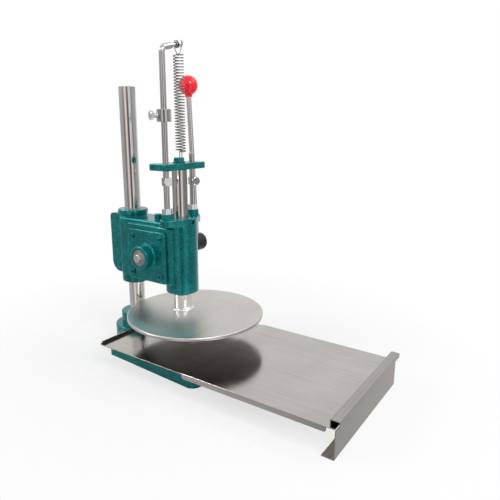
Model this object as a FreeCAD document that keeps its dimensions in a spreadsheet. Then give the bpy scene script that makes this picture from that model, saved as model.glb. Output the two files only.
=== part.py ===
import FreeCAD, Part
import math
import os
import re

import Sketcher
from FreeCAD import Placement, Rotation, Vector

# Driving dimensions in millimetres, angles in degrees
SIZES = {
    # Clearances
    "running_clearance": 0.05,
    "seat_clearance": 0.02,
    "joint_gap": 0.3,
    # Base casting, measured from the ram axis and from the table
    "plate_top": 45,
    "base_rear": 121,
    "base_front": 96,
    "base_width": 172,
    "base_rear_width": 145,
    "base_hollow_rear": 56,
    "base_corner": 16,
    "base_rear_corner": 6,
    "base_shoulder": 31,
    "base_bevel": 4,
    "base_wall": 9,
    "base_deck": 17,
    "seat_rear": 116,
    "seat_front": 88,
    "seat_width": 156,
    "seat_rear_width": 118,
    "seat_corner": 12,
    "step_diameter": 86,
    "step_rise": 1,
    "boss_diameter": 62,
    "boss_rise": 25,
    "casting_round": 2,
    # Column
    "column_offset": 118,
    "column_diameter": 30,
    "column_foot": 8,
    "column_length": 477,
    "column_chamfer": 1,
    # Bed plate
    "bed_rear": 88,
    "bed_front": 158,
    "bed_width": 234,
    "bed_thickness": 1.5,
    "bed_lip": 5,
    "bed_screw_diameter": 5,
    "bed_screw_head": 10,
    "bed_screw_length": 12,
    "bed_screw_reach": 40,
    "bed_screw_spread": 40,
    # Sliding tray
    "tray_rear": 99,
    "tray_length": 250,
    "tray_sheet": 1.2,
    "tray_lip": 9,
    "tray_return": 6,
    "tray_lip_gap": 5,
    "tray_corner": 4,
    "tray_fold": 1,
    "handle_rise": 12.4,
    "handle_top": 14.3,
    "handle_band": 7,
    "handle_slant": 8,
    "handle_undercut": 5.5,
    "handle_flange": 19,
    "handle_foot": 1,
    # Press disc and hub
    "disc_diameter": 240,
    "disc_thickness": 6,
    "disc_lead": 30,
    "disc_opening": 46,
    "disc_round": 1.5,
    "hub_diameter": 31,
    "hub_length": 28.5,
    "weld_width": 3.5,
    "weld_height": 3,
    "hub_screw_diameter": 8,
    "hub_screw_rise": 23,
    "hub_screw_angle": -40,
    # Ram and its rack
    "ram_diameter": 26,
    "ram_length": 249.5,
    "ram_chamfer": 1,
    "gear_module": 2,
    "pinion_teeth": 39,
    "rack_teeth": 15,
    "rack_teeth_below": 4,
    "rack_backlash": 0.3,
    "pressure_angle": 20,
    # Head casting, levels from the underside of the ram housing
    "housing_diameter": 58,
    "housing_length": 144.2,
    "head_gap": 4.3,
    "flange_depth": 12.5,
    "flange_end_diameter": 26,
    "rod_boss_rise": 10,
    "rod_boss_foot": 21.5,
    "rod_boss_diameter": 19.2,
    "boss_wall": 10.5,
    "boss_length": 138.7,
    "boss_collar": 9,
    "boss_collar_step": 2,
    "case_bottom": 17.2,
    "case_top": 125.8,
    "case_front": 28.5,
    "case_rear": 32,
    "case_left": 125,
    "pad_left": 100,
    "pad_right": 9,
    "pad_rise": 5,
    "pad_top": 118.6,
    "oil_boss_diameter": 13,
    "oil_boss_rise": 10,
    "oil_boss_lead": 4,
    "shaft_height": 64.2,
    "cavity_rear": 15,
    "cavity_clearance": 1,
    "rear_boss_diameter": 40,
    "rear_boss_length": 42,
    "head_round": 3,
    "ear_reach": 49.4,
    "ear_bottom": 14,
    "ear_top": 127.9,
    "ear_thickness": 11,
    "ear_top_corner": 8,
    "ear_foot_corner": 20,
    "clamp_slot": 3,
    "clamp_bolt_reach": 36.5,
    "clamp_bolt_drop": 22,
    "oil_hole_diameter": 7,
    "oil_hole_drop": 16,
    # Hexagon fasteners: thread diameter, width across flats, head height
    "small_thread": 8,
    "small_flats": 13,
    "small_head": 5.3,
    "large_thread": 10,
    "large_flats": 16,
    "large_head": 6.4,
    "nut_height": 9,
    "head_chamfer": 0.8,
    # Gear cover
    "cover_side": 92,
    "cover_thickness": 4,
    "cover_corner": 7.5,
    "cover_boss_diameter": 42,
    "cover_boss_length": 18.5,
    "cover_boss_root": 2.5,
    "cover_round": 1.6,
    "cover_recess_diameter": 31,
    "cover_recess_depth": 4,
    "cover_spigot": 4,
    "cover_screw_spread": 67,
    "cover_screw_diameter": 5,
    "cover_screw_head": 9,
    "cover_screw_head_height": 3,
    "cover_screw_length": 14,
    # Pinion shaft, bushes and lever
    "shaft_diameter": 18,
    "bush_wall": 3,
    "pinion_width": 26,
    "pinion_hub_diameter": 30,
    "key_width": 6,
    "key_height": 6,
    "end_washer_diameter": 29,
    "end_washer_thickness": 3,
    "end_bolt_length": 22,
    "lever_hub_diameter": 34,
    "lever_hub_length": 39,
    "lever_hub_gap": 1,
    "lever_hub_chamfer": 1.5,
    "lever_rod_inset": 12,
    "lever_length": 298,
    "lever_rod_diameter": 10,
    "lever_lean": 2.7,
    "ball_diameter": 36,
    "ball_neck_diameter": 14,
    "ball_neck_length": 3,
    "ball_socket": 14,
    # Guide rods, crossbar and stops
    "rod_offset": 33,
    "rod_diameter": 10,
    "rod_seat": 12,
    "right_rod_rise": 99,
    "crossbar_width": 38,
    "crossbar_length": 98.5,
    "crossbar_thickness": 11,
    "crossbar_set_back": 2.7,
    "crossbar_chamfer": 0.8,
    "crossbar_washer_diameter": 20,
    "crossbar_washer_thickness": 2.4,
    "crossbar_bolt_length": 26,
    "stop_diameter": 16,
    "stop_height": 13,
    "stop_offset": 1.8,
    "left_stop_drop": 11.5,
    "right_stop_drop": 15,
    "left_stop_angle": -33,
    "right_stop_angle": -20,
    # Crane rod, coupling and spring
    "coupling_rise": 150,
    "coupling_diameter": 23.5,
    "coupling_length": 20,
    "coupling_bolt_angle": -115,
    "coupling_bolt_gap": 7,
    "crane_height": 262.5,
    "crane_slope": 14.5,
    "crane_bend": 8,
    "crane_arm": 21.7,
    "crane_stud": 47,
    "stud_diameter": 6,
    "crane_washer_diameter": 12.5,
    "crane_washer_thickness": 1.4,
    "crane_washer_reach": 35.4,
    "crane_nut_flats": 10,
    "crane_nut_length": 4.8,
    "spring_axis": 5,
    "spring_diameter": 18,
    "spring_wire": 1.8,
    "spring_turns": 33,
    "spring_tail": 3,
    "hanger_wire": 1.5,
    "eye_wire": 1.7,
    "hanger_drop": 15.5,
    "hanger_reach": 6.3,
    "anchor_wire": 1.6,
    "anchor_height": 14.5,
    "anchor_span": 5,
}

# Places worked out from the driving dimensions
PLACES = {
    "bed_underside": "plate_top - bed_thickness",
    "step_top": "bed_underside + step_rise",
    "boss_top": "step_top + boss_rise",
    "disc_underside": "plate_top + disc_opening",
    "disc_top": "disc_underside + disc_thickness",
    "disc_rear": "disc_diameter / 2 - disc_lead",
    "hub_top": "disc_top + hub_length",
    "head_bottom": "hub_top + head_gap",
    "head_top": "head_bottom + housing_length",
    "flange_top": "head_top - rod_boss_rise",
    "flange_underside": "flange_top - flange_depth",
    "ram_foot": "disc_top + seat_clearance",
    "ram_top": "ram_foot + ram_length",
    "crossbar_top": "ram_top + crossbar_thickness",
    "shaft_level": "head_bottom + shaft_height",
    "pitch_radius": "gear_module * pinion_teeth / 2",
    "tip_radius": "pitch_radius + gear_module",
    "tooth_pitch": "pi * gear_module",
    "rack_pitch_line": "ram_diameter / 2 - gear_module",
    "shaft_offset": "rack_pitch_line + pitch_radius",
    "cavity_radius": "tip_radius + cavity_clearance",
    "boss_radius": "column_diameter / 2 + boss_wall",
    "pad_front": "case_front + pad_rise",
    "cover_front": "pad_front + cover_thickness",
    "cover_boss_front": "cover_front + cover_boss_length",
    "recess_floor": "cover_boss_front - cover_recess_depth",
    "shaft_front": "recess_floor + joint_gap",
    "rear_boss_end": "case_rear + rear_boss_length",
    "lever_hub_front": "rear_boss_end + lever_hub_gap",
    "lever_hub_rear": "lever_hub_front + lever_hub_length",
    "lever_plane": "lever_hub_rear - lever_rod_inset",
    "bush_radius": "shaft_diameter / 2 + bush_wall",
    "tray_floor": "plate_top + joint_gap",
    "tray_top": "tray_floor + tray_sheet",
    "tray_side": "bed_width / 2 + joint_gap + tray_sheet",
    "tray_front": "tray_rear + tray_length",
    "handle_front": "tray_front + handle_top",
    "apron_face": "handle_front - handle_undercut",
    "rod_foot": "head_top - rod_seat",
    "coupling_bottom": "head_top + coupling_rise",
    "coupling_middle": "coupling_bottom + coupling_length / 2",
    "crane_corner": "head_top + crane_height",
    "hanger_level": "crane_corner + (rod_offset + spring_axis) * tan(crane_slope)",
    "spring_radius": "(spring_diameter - spring_wire) / 2",
    "anchor_foot": "crossbar_top + crossbar_washer_thickness + large_head / 2",
    "eye_radius": "(stud_diameter + eye_wire) / 2 + joint_gap",
    "spring_top": "hanger_level - hanger_drop",
    "anchor_crown": "anchor_foot + anchor_height",
    "spring_bottom": "anchor_crown - (anchor_wire + spring_wire) / 2 - joint_gap",
    "coil_pitch": "(spring_top - spring_bottom) / (spring_turns + 0.5)",
    "stop_top_left": "ram_top - left_stop_drop",
    "stop_top_right": "ram_top - right_stop_drop",
}

PIECES = []

doc = FreeCAD.newDocument("DoughPress")


# The sheet of sizes and the set of places bound to it

def make_sheet():
    sheet = doc.addObject("Spreadsheet::Sheet", "Sizes")
    for row, (name, value) in enumerate(SIZES.items(), 1):
        sheet.set(f"A{row}", name)
        sheet.set(f"B{row}", str(value))
        sheet.setAlias(f"B{row}", name)
    doc.recompute()
    return sheet


def bound(expression):
    """Point every named size and place in an expression at its holder."""
    def holder(word):
        if word[0] in SIZES:
            return f"Sizes.{word[0]}"
        return f"Places.{word[0]}" if word[0] in PLACES else word[0]
    return re.sub(r"[a-z][a-z_]*", holder, str(expression))


def make_places():
    places = doc.addObject("App::VarSet", "Places")
    for name, expression in PLACES.items():
        places.addProperty("App::PropertyFloat", name)
        places.setExpression(name, bound(expression))
    doc.recompute()
    return places


sizes = make_sheet()
places = make_places()


def size(name):
    """The present value of a named size or place."""
    return float(sizes.get(name)) if name in SIZES else getattr(places, name)


# Bound primitives, booleans and finished pieces

X, Y, Z = Vector(1, 0, 0), Vector(0, 1, 0), Vector(0, 0, 1)


def facing(direction):
    """The turn that lays an object's own Z along a direction."""
    return Rotation(Z, direction)


def heading(angle):
    """The level direction at an angle from +X, in degrees."""
    return Vector(math.cos(math.radians(angle)), math.sin(math.radians(angle)), 0)


def bind(obj, **expressions):
    for field, expression in expressions.items():
        obj.setExpression(field, bound(expression))
    return obj


def put(obj, at, turn=None):
    """Give an object its turn and its bound place."""
    obj.Placement = Placement(Vector(), turn or Rotation())
    for direction, expression in zip("xyz", at):
        obj.setExpression(f"Placement.Base.{direction}", bound(expression))
    return obj


def cylinder(name, radius, length, at, along=Z):
    obj = bind(doc.addObject("Part::Cylinder", name), Radius=radius, Height=length)
    return put(obj, at, facing(along))


def cone(name, foot_radius, top_radius, length, at, along=Z):
    obj = bind(doc.addObject("Part::Cone", name), Radius1=foot_radius, Radius2=top_radius,
               Height=length)
    return put(obj, at, facing(along))


def box(name, length, width, height, at):
    obj = bind(doc.addObject("Part::Box", name), Length=length, Width=width, Height=height)
    return put(obj, at)


def hexagon(name, flats, height, at, along=Z):
    """A hexagonal prism of a given width across its flats."""
    obj = doc.addObject("Part::Prism", name)
    obj.Polygon = 6
    bind(obj, Circumradius=f"({flats}) / sqrt(3)", Height=height)
    return put(obj, at, facing(along))


def fuse(name, *shapes):
    obj = doc.addObject("Part::MultiFuse", name)
    obj.Shapes = list(shapes)
    obj.Refine = True
    return obj


def cut(name, base, *tools):
    obj = doc.addObject("Part::Cut", name)
    obj.Base = base
    obj.Tool = tools[0] if len(tools) == 1 else fuse(f"{name}_tools", *tools)
    obj.Refine = True
    return obj


def common(name, *shapes):
    obj = doc.addObject("Part::MultiCommon", name)
    obj.Shapes = list(shapes)
    return obj


def group(name, *shapes):
    """Separate solids kept together in one node."""
    obj = doc.addObject("Part::Compound", name)
    obj.Links = list(shapes)
    return obj


def edged(kind, name, base, distance, wanted):
    """Fillet or chamfer the edges of a shape that a test picks."""
    doc.recompute()
    reach = size(distance)
    picked = [i for i, edge in enumerate(base.Shape.Edges, 1) if wanted(edge)]
    obj = doc.addObject(kind, name)
    obj.Base = base
    obj.Edges = [(i, reach, reach) for i in picked]
    return obj


def rounded(name, base, radius, wanted):
    return edged("Part::Fillet", name, base, radius, wanted)


def bevelled(name, base, width, wanted):
    return edged("Part::Chamfer", name, base, width, wanted)


def held(name, shape, at=Vector(), turn=Rotation()):
    """A piece whose shape is worked out here, then placed."""
    obj = doc.addObject("Part::Feature", name)
    obj.Shape = shape
    obj.Placement = Placement(at, turn)
    return obj


def piece(name, obj):
    """Name a finished sub-part."""
    obj.Label = name
    PIECES.append(obj)
    return obj


def any_edge(edge):
    return True


def parallel(direction):
    """A test for straight edges along a direction."""
    def wanted(edge):
        return isinstance(edge.Curve, Part.Line) and abs(edge.Curve.Direction.dot(direction)) > 0.999
    return wanted


def upright_edges(side):
    """A test for the upright edges on one side of the ram: 1 in front of it, -1 behind it."""
    upright = parallel(Z)
    return lambda edge: upright(edge) and edge.CenterOfMass.x * side > 0


def at_level(level, direction=Z):
    """A test for edges that lie wholly at one distance along a direction."""
    def wanted(edge):
        marks = [edge.valueAt(edge.FirstParameter + step * (edge.LastParameter - edge.FirstParameter))
                 for step in (0, 0.3, 0.6, 1)]
        return all(abs(mark.dot(direction) - level) < 0.01 for mark in marks)
    return wanted


# Sketches whose corners are bound to the sheet

def origin_plane(body, role):
    return next(item for item in body.Origin.OriginFeatures if item.Role == role)


def new_sketch(body, name, role, lift="0"):
    sketch = body.newObject("Sketcher::SketchObject", name)
    sketch.AttachmentSupport = [(origin_plane(body, role), "")]
    sketch.MapMode = "FlatFace"
    sketch.setExpression("AttachmentOffset.Base.z", bound(lift))
    return sketch


def fix(sketch, kind, *target, expression):
    """Add one driving constraint and bind its value."""
    index = sketch.addConstraint(Sketcher.Constraint(kind, *target, 1.0))
    sketch.setExpression(f"Constraints[{index}]", bound(expression))


def polygon(sketch, corners):
    """A closed outline of straight lines through bound corners."""
    count = len(corners)
    first = sketch.GeometryCount
    for step in range(count):
        angle = 2 * math.pi * step / count
        after = 2 * math.pi * (step + 1) / count
        sketch.addGeometry(Part.LineSegment(Vector(9 * math.cos(angle), 9 * math.sin(angle), 0),
                                            Vector(9 * math.cos(after), 9 * math.sin(after), 0)))
    for step in range(count):
        following = first + (step + 1) % count
        sketch.addConstraint(Sketcher.Constraint("Coincident", first + step, 2, following, 1))
    for step, (across, up) in enumerate(corners):
        fix(sketch, "DistanceX", -1, 1, first + step, 1, expression=across)
        fix(sketch, "DistanceY", -1, 1, first + step, 1, expression=up)


def circle(sketch, radius, across, up):
    index = sketch.addGeometry(Part.Circle(Vector(1, 1, 0), Vector(0, 0, 1), 5))
    fix(sketch, "Radius", index, expression=radius)
    fix(sketch, "DistanceX", -1, 1, index, 3, expression=across)
    fix(sketch, "DistanceY", -1, 1, index, 3, expression=up)


def rectangle(sketch, left, right, low, high):
    polygon(sketch, [(left, low), (right, low), (right, high), (left, high)])


def pad(body, sketch, length, both_ways=False, reverse=False):
    feature = body.newObject("PartDesign::Pad", f"{sketch.Name}_pad")
    feature.Profile = sketch
    feature.Midplane = both_ways
    feature.Reversed = reverse
    return bind(feature, Length=length)


def pocket(body, sketch, length, both_ways=False, reverse=False):
    feature = body.newObject("PartDesign::Pocket", f"{sketch.Name}_pocket")
    feature.Profile = sketch
    feature.Midplane = both_ways
    feature.Reversed = reverse
    return bind(feature, Length=length)


def dress(body, kind, base, wanted, **expressions):
    """A fillet or chamfer of the body's edges that a test picks."""
    doc.recompute()
    names = [f"Edge{i}" for i, edge in enumerate(base.Shape.Edges, 1) if wanted(edge)]
    feature = body.newObject(f"PartDesign::{kind}", f"{body.Name}_{kind.lower()}")
    feature.Base = (base, names)
    return bind(feature, **expressions)


def plate_body(name, corners, thickness, lift, role="XY_Plane", both_ways=False, reverse=False):
    body = doc.addObject("PartDesign::Body", name)
    outline = new_sketch(body, f"{name}_outline", role, lift)
    polygon(outline, corners)
    return body, pad(body, outline, thickness, both_ways, reverse)


# Screws and bolts

def hex_bolt(name, flats, head, thread, length, at, along=Z):
    """A hexagon-head bolt: the head rises from its seat and the shank runs back."""
    blank = hexagon(f"{name}_blank", flats, head, at, along)
    turned = cone(f"{name}_turned", f"({flats}) / 2 + ({head}) * 1.7", f"({flats}) / 2 - head_chamfer / 4",
                  head, at, along)
    shank = cylinder(f"{name}_shank", f"({thread}) / 2 - seat_clearance", length, at, -along)
    return fuse(name, common(f"{name}_head", blank, turned), shank)


def grub_screw(name, thread, length, at, along):
    """A headless screw that runs in from its outer face, where its socket is."""
    rod = cylinder(f"{name}_rod", f"({thread}) / 2 - seat_clearance", length, at, along)
    socket = hexagon(f"{name}_socket", f"({thread}) / 2", f"({length}) * 0.45", at, along)
    return cut(name, rod, socket)


# Base casting and column

def tapered_outline(rear, front, rear_width, front_width):
    """The corners of a block that is wider at its front."""
    return [(f"-{rear}", f"-{rear_width} / 2"), (front, f"-{front_width} / 2"), (front, f"{front_width} / 2"),
            (f"-{rear}", f"{rear_width} / 2")]


def make_base_block():
    """The base's foot: a tapered block with round corners and two hollows in its underside."""
    corners = tapered_outline("base_rear", "base_front", "base_rear_width", "base_width")
    body, block = plate_body("base_block", corners, "base_shoulder", "0")
    dress(body, "Fillet", block, upright_edges(1), Radius="base_corner")
    dress(body, "Fillet", body.Tip, upright_edges(-1), Radius="base_rear_corner")
    dress(body, "Fillet", body.Tip, at_level(size("base_shoulder")), Radius="casting_round")
    hollow = new_sketch(body, "base_hollow", "XY_Plane")
    inner = "(base_rear_width / 2 - base_wall / 2)"
    for low, high in (("base_wall / 2", inner), (f"-{inner}", "-base_wall / 2")):
        rectangle(hollow, "-base_hollow_rear", "base_front - base_wall", low, high)
    pocket(body, hollow, "bed_underside - base_deck", reverse=True)
    return body


def make_base_seat():
    """The raised seat of the bed plate on the base's foot."""
    corners = tapered_outline("seat_rear", "seat_front", "seat_rear_width", "seat_width")
    body, block = plate_body("base_seat", corners, "bed_underside - base_shoulder + casting_round",
                             "base_shoulder - casting_round")
    dress(body, "Fillet", block, parallel(Z), Radius="seat_corner")
    dress(body, "Chamfer", body.Tip, at_level(size("bed_underside")), Size="base_bevel")
    return body


def make_base():
    axis = ("-column_offset", "0", "0")
    step = rounded("base_step", cylinder("base_step_round", "step_diameter / 2", "step_top", axis),
                   "casting_round", at_level(size("step_top")))
    boss = rounded("base_boss", cylinder("base_boss_round", "boss_diameter / 2", "boss_top", axis),
                   "casting_round", at_level(size("boss_top")))
    faced = box("plate_seat", "boss_diameter", "step_diameter", "boss_rise * 2",
                ("-disc_rear - 2 * joint_gap", "-step_diameter / 2", "bed_underside"))
    socket = cylinder("column_socket", "column_diameter / 2 + seat_clearance", "boss_top",
                      ("-column_offset", "0", "column_foot"))
    lock = cylinder("column_lock_hole", "small_thread / 2", "boss_diameter / 2",
                    ("-column_offset - boss_diameter / 2", "0", "boss_top - boss_rise / 2"), X)
    solid = fuse("base_solid", make_base_block(), make_base_seat(), step, boss)
    piece("base_casting", cut("base_casting", solid, faced, socket, lock, *bed_screw_shanks("bed_screw_hole", "0")))


def bed_screw_places():
    return [(f"{x}bed_screw_reach", f"{y}bed_screw_spread / 2") for x in ("", "-") for y in ("", "-")]


def bed_screw_shanks(name, less):
    """Four upright shanks below the plate's screws, thinner than their thread by a clearance."""
    return [cylinder(f"{name}_{i}", f"bed_screw_diameter / 2 - ({less})", "bed_screw_length",
                     (x, y, "plate_top - bed_screw_length"))
            for i, (x, y) in enumerate(bed_screw_places(), 1)]


def make_column():
    bar = cylinder("column_bar", "column_diameter / 2", "column_length",
                   ("-column_offset", "0", "column_foot"))
    top = size("column_foot") + size("column_length")
    piece("column", bevelled("column", bar, "column_chamfer", at_level(top)))
    piece("column_set_screw", grub_screw(
        "column_set_screw", "small_thread", "(boss_diameter - column_diameter) / 2 - 2 * joint_gap",
        ("-column_offset - boss_diameter / 2 + joint_gap", "0", "boss_top - boss_rise / 2"), X))


# Fixed bed plate with its screws, and the tray that slides on it

def make_bed_plate():
    body, floor = plate_body("bed_sheet", [
        ("-bed_rear - bed_thickness", "bed_underside"), ("bed_front", "bed_underside"),
        ("bed_front", "plate_top"), ("-bed_rear", "plate_top"),
        ("-bed_rear", "plate_top + bed_lip"), ("-bed_rear - bed_thickness", "plate_top + bed_lip")],
        "bed_width", "0", role="XZ_Plane", both_ways=True)
    lip_ends = at_level(size("plate_top") + size("bed_lip"))
    dress(body, "Fillet", floor, lambda edge: parallel(X)(edge) and lip_ends(edge), Radius="tray_corner")
    sinks = [cone(f"bed_sink_{i}", "bed_screw_diameter / 2 + seat_clearance",
                  "bed_screw_head / 2 + seat_clearance", "bed_thickness", (x, y, "bed_underside"))
             for i, (x, y) in enumerate(bed_screw_places(), 1)]
    piece("bed_plate", cut("bed_plate", body, *sinks))


def make_bed_screws():
    screws = []
    shanks = bed_screw_shanks("bed_shank", "seat_clearance")
    for i, ((x, y), shank) in enumerate(zip(bed_screw_places(), shanks), 1):
        head = cone(f"bed_head_{i}", "bed_screw_diameter / 2", "bed_screw_head / 2", "bed_thickness",
                    (x, y, "bed_underside"))
        drive = hexagon(f"bed_drive_{i}", "bed_screw_diameter / 2", "bed_thickness * 2",
                        (x, y, "plate_top - bed_thickness"))
        screws.append(cut(f"bed_screw_{i}", fuse(f"bed_screw_blank_{i}", shank, head), drive))
    piece("bed_screws", group("bed_screws", *screws))


def make_tray():
    """A sheet floor whose sides fold down round the plate's edges."""
    side, inner, under = "tray_side", "tray_side - tray_sheet", "tray_top - tray_lip"
    parts = [box("tray_floor_sheet", "apron_face - tray_sheet - joint_gap - tray_rear", "2 * tray_side",
                 "tray_sheet", ("tray_rear", f"-{side}", "tray_floor"))]
    for name, wall, foot in (("near", f"-{side}", f"-{side}"), ("far", inner, f"{side} - tray_return")):
        reach = "tray_length - tray_lip_gap"
        lip = box(f"{name}_lip_sheet", reach, "tray_sheet", "tray_lip", ("tray_rear", wall, under))
        parts.append(rounded(f"{name}_lip", lip, "tray_corner",
                             lambda edge: parallel(Y)(edge) and at_level(size("tray_top") - size("tray_lip"))(edge)))
        parts.append(box(f"{name}_return", f"{reach} - 2 * tray_corner", "tray_return", "tray_sheet",
                         ("tray_rear + tray_corner", foot, under)))
    folded = fuse("tray_folded", *parts)
    side_edge = size("tray_side")
    piece("tray_pan", rounded("tray_pan", folded, "tray_fold", lambda edge: (
        parallel(X)(edge) and at_level(size("tray_top"))(edge)
        and abs(abs(edge.valueAt(0).y) - side_edge) < 0.01 and edge.Length > size("tray_length") / 2)))


def make_tray_handle():
    """One bent sheet: a wall, a top strip, a band, a slant, an apron and a foot flange."""
    profile = [
        ("tray_front", "tray_top"), ("tray_front", "tray_top + handle_rise"),
        ("handle_front", "tray_top + handle_rise"),
        ("handle_front", "tray_top + handle_rise - handle_band"),
        ("apron_face", "tray_top + handle_rise - handle_band - handle_slant"),
        ("apron_face", "handle_foot"), ("apron_face - handle_flange", "handle_foot"),
        ("apron_face - handle_flange", "handle_foot + tray_sheet"),
        ("apron_face - tray_sheet", "handle_foot + tray_sheet"),
        ("apron_face - tray_sheet", "tray_top + handle_rise - handle_band - handle_slant + tray_sheet / 3"),
        ("handle_front - tray_sheet", "tray_top + handle_rise - handle_band + tray_sheet / 3"),
        ("handle_front - tray_sheet", "tray_top + handle_rise - tray_sheet"),
        ("tray_front + tray_sheet", "tray_top + handle_rise - tray_sheet"),
        ("tray_front + tray_sheet", "tray_top"),
    ]
    body, bent = plate_body("tray_handle", profile, "2 * tray_side", "0", role="XZ_Plane", both_ways=True)
    outer = [(size("tray_front"), size("tray_top") + size("handle_rise")),
             (size("handle_front"), size("tray_top") + size("handle_rise")),
             (size("apron_face"), size("handle_foot"))]
    dress(body, "Fillet", bent, lambda edge: parallel(Y)(edge) and any(
        edge.valueAt(0).distanceToPoint(Vector(x, edge.valueAt(0).y, z)) < 0.01 for x, z in outer),
        Radius="tray_fold")
    piece("tray_handle", body)


# Press disc, its hub and the ram with its rack

def make_disc():
    body = doc.addObject("PartDesign::Body", "press_disc")
    outline = new_sketch(body, "disc_outline", "XY_Plane", "disc_underside")
    circle(outline, "disc_diameter / 2", "disc_lead", "0")
    plate = pad(body, outline, "disc_thickness")
    dress(body, "Fillet", plate, lambda edge: isinstance(edge.Curve, Part.Circle), Radius="disc_round")
    piece("press_disc", body)


def hub_screw_place(reach):
    return (f"({reach}) * cos(hub_screw_angle)", f"({reach}) * sin(hub_screw_angle)",
            "disc_top + hub_screw_rise")


def make_hub():
    inward = -heading(size("hub_screw_angle"))
    sleeve = bevelled("hub_sleeve", cylinder("hub_tube", "hub_diameter / 2", "hub_length", ("0", "0", "disc_top")),
                      "head_chamfer", at_level(size("hub_top")))
    weld = cone("hub_weld", "hub_diameter / 2 + weld_width", "hub_diameter / 2", "weld_height",
                ("0", "0", "disc_top"))
    bore = cylinder("hub_bore", "ram_diameter / 2 + seat_clearance", "hub_length * 2", ("0", "0", "disc_top"))
    hole = cylinder("hub_screw_hole", "hub_screw_diameter / 2", "hub_diameter / 2",
                    hub_screw_place("hub_diameter / 2 + 1"), inward)
    piece("disc_hub", cut("disc_hub", fuse("hub_welded", sleeve, weld), bore, hole))
    piece("hub_set_screw", grub_screw(
        "hub_set_screw", "hub_screw_diameter", "(hub_diameter - ram_diameter) / 2 - seat_clearance * 3",
        hub_screw_place("hub_diameter / 2 - seat_clearance"), inward))


def make_ram():
    body = doc.addObject("PartDesign::Body", "ram")
    outline = new_sketch(body, "ram_outline", "XY_Plane", "ram_foot")
    circle(outline, "ram_diameter / 2", "0", "0")
    bar = pad(body, outline, "ram_length")
    dress(body, "Chamfer", bar, at_level(size("ram_top")), Size="ram_chamfer")

    def flank(reach):
        return f"(tooth_pitch / 4 + rack_backlash / 2 + ({reach} - rack_pitch_line) * tan(pressure_angle))"
    lowest = "(shaft_level - rack_teeth_below * tooth_pitch)"
    mouth, root = "(ram_diameter / 2 + 1)", "(rack_pitch_line - 1.25 * gear_module)"
    gap = new_sketch(body, "rack_gap", "XZ_Plane")
    polygon(gap, [(f"-{mouth}", f"{lowest} - {flank(mouth)}"), (f"-{root}", f"{lowest} - {flank(root)}"),
                  (f"-{root}", f"{lowest} + {flank(root)}"), (f"-{mouth}", f"{lowest} + {flank(mouth)}")])
    tooth_gap = pocket(body, gap, "ram_diameter * 2", both_ways=True)
    doc.recompute()
    rack = body.newObject("PartDesign::LinearPattern", "rack")
    rack.Originals = [tooth_gap]
    rack.Direction = (origin_plane(body, "Z_Axis"), [""])
    rack.Occurrences = int(size("rack_teeth"))
    bind(rack, Length="(rack_teeth - 1) * tooth_pitch")
    body.Tip = rack
    doc.recompute()
    thread = new_sketch(body, "ram_thread", "XY_Plane", "ram_top")
    circle(thread, "large_thread / 2", "0", "0")
    pocket(body, thread, "crossbar_bolt_length")
    piece("ram", body)


# Head casting

def hull_plate(middle_radius, end_radius, reach, thickness):
    """A flat plate round a middle disc and two smaller discs at either side along Y."""
    lean = math.asin((middle_radius - end_radius) / reach)
    def rim(radius, centre, angle):
        return Vector(radius * math.cos(angle), centre + radius * math.sin(angle), 0)
    edges = []
    for turn in (0, math.pi):
        twist = Rotation(Z, math.degrees(turn))
        low = twist.multVec(rim(middle_radius, 0, -lean))
        mid = twist.multVec(rim(middle_radius, 0, 0))
        high = twist.multVec(rim(middle_radius, 0, lean))
        start = twist.multVec(rim(end_radius, reach, lean))
        tip = twist.multVec(rim(end_radius, reach, math.pi / 2))
        end = twist.multVec(rim(end_radius, reach, math.pi - lean))
        onward = twist.multVec(rim(middle_radius, 0, math.pi - lean))
        edges += [Part.Arc(low, mid, high).toShape(), Part.LineSegment(high, start).toShape(),
                  Part.Arc(start, tip, end).toShape(), Part.LineSegment(end, onward).toShape()]
    return Part.Face(Part.Wire(Part.__sortEdges__(edges))).extrude(Vector(0, 0, thickness))


def make_flange():
    """The plate round the housing's top and the two bosses that the guide rods stand in."""
    plate = held("flange_plate", hull_plate(size("housing_diameter") / 2, size("flange_end_diameter") / 2,
                                            size("rod_offset"), size("flange_depth")),
                 Vector(0, 0, size("flange_underside")))
    rims = at_level(size("flange_top")), at_level(size("flange_underside"))
    bosses = [cone(f"{side}_rod_boss", "rod_boss_foot / 2", "rod_boss_diameter / 2", "rod_boss_rise",
                   ("0", y, "flange_top")) for side, y in (("left", "-rod_offset"), ("right", "rod_offset"))]
    return [rounded("head_flange", plate, "casting_round", lambda edge: any(rim(edge) for rim in rims)), *bosses]


def make_case():
    """The gear case with the raised pad that the cover sits on and a small boss on its top."""
    case = box("case_block", "case_left", "case_front + case_rear", "case_top - case_bottom",
               ("-case_left", "-case_front", "head_bottom + case_bottom"))
    raised = box("pad_block", "pad_left + pad_right", "pad_front", "pad_top - case_bottom",
                 ("-pad_left", "-pad_front", "head_bottom + case_bottom"))
    oil_boss = cylinder("oil_boss_round", "oil_boss_diameter / 2", "oil_boss_rise * 2",
                        ("-shaft_offset", "-oil_boss_lead", "head_bottom + case_top - oil_boss_rise"))
    oil_boss_top = at_level(size("head_bottom") + size("case_top") + size("oil_boss_rise"))
    return (rounded("gear_case", case, "head_round", any_edge),
            rounded("cover_pad", raised, "casting_round", any_edge),
            rounded("oil_boss", oil_boss, "casting_round", oil_boss_top))


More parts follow.
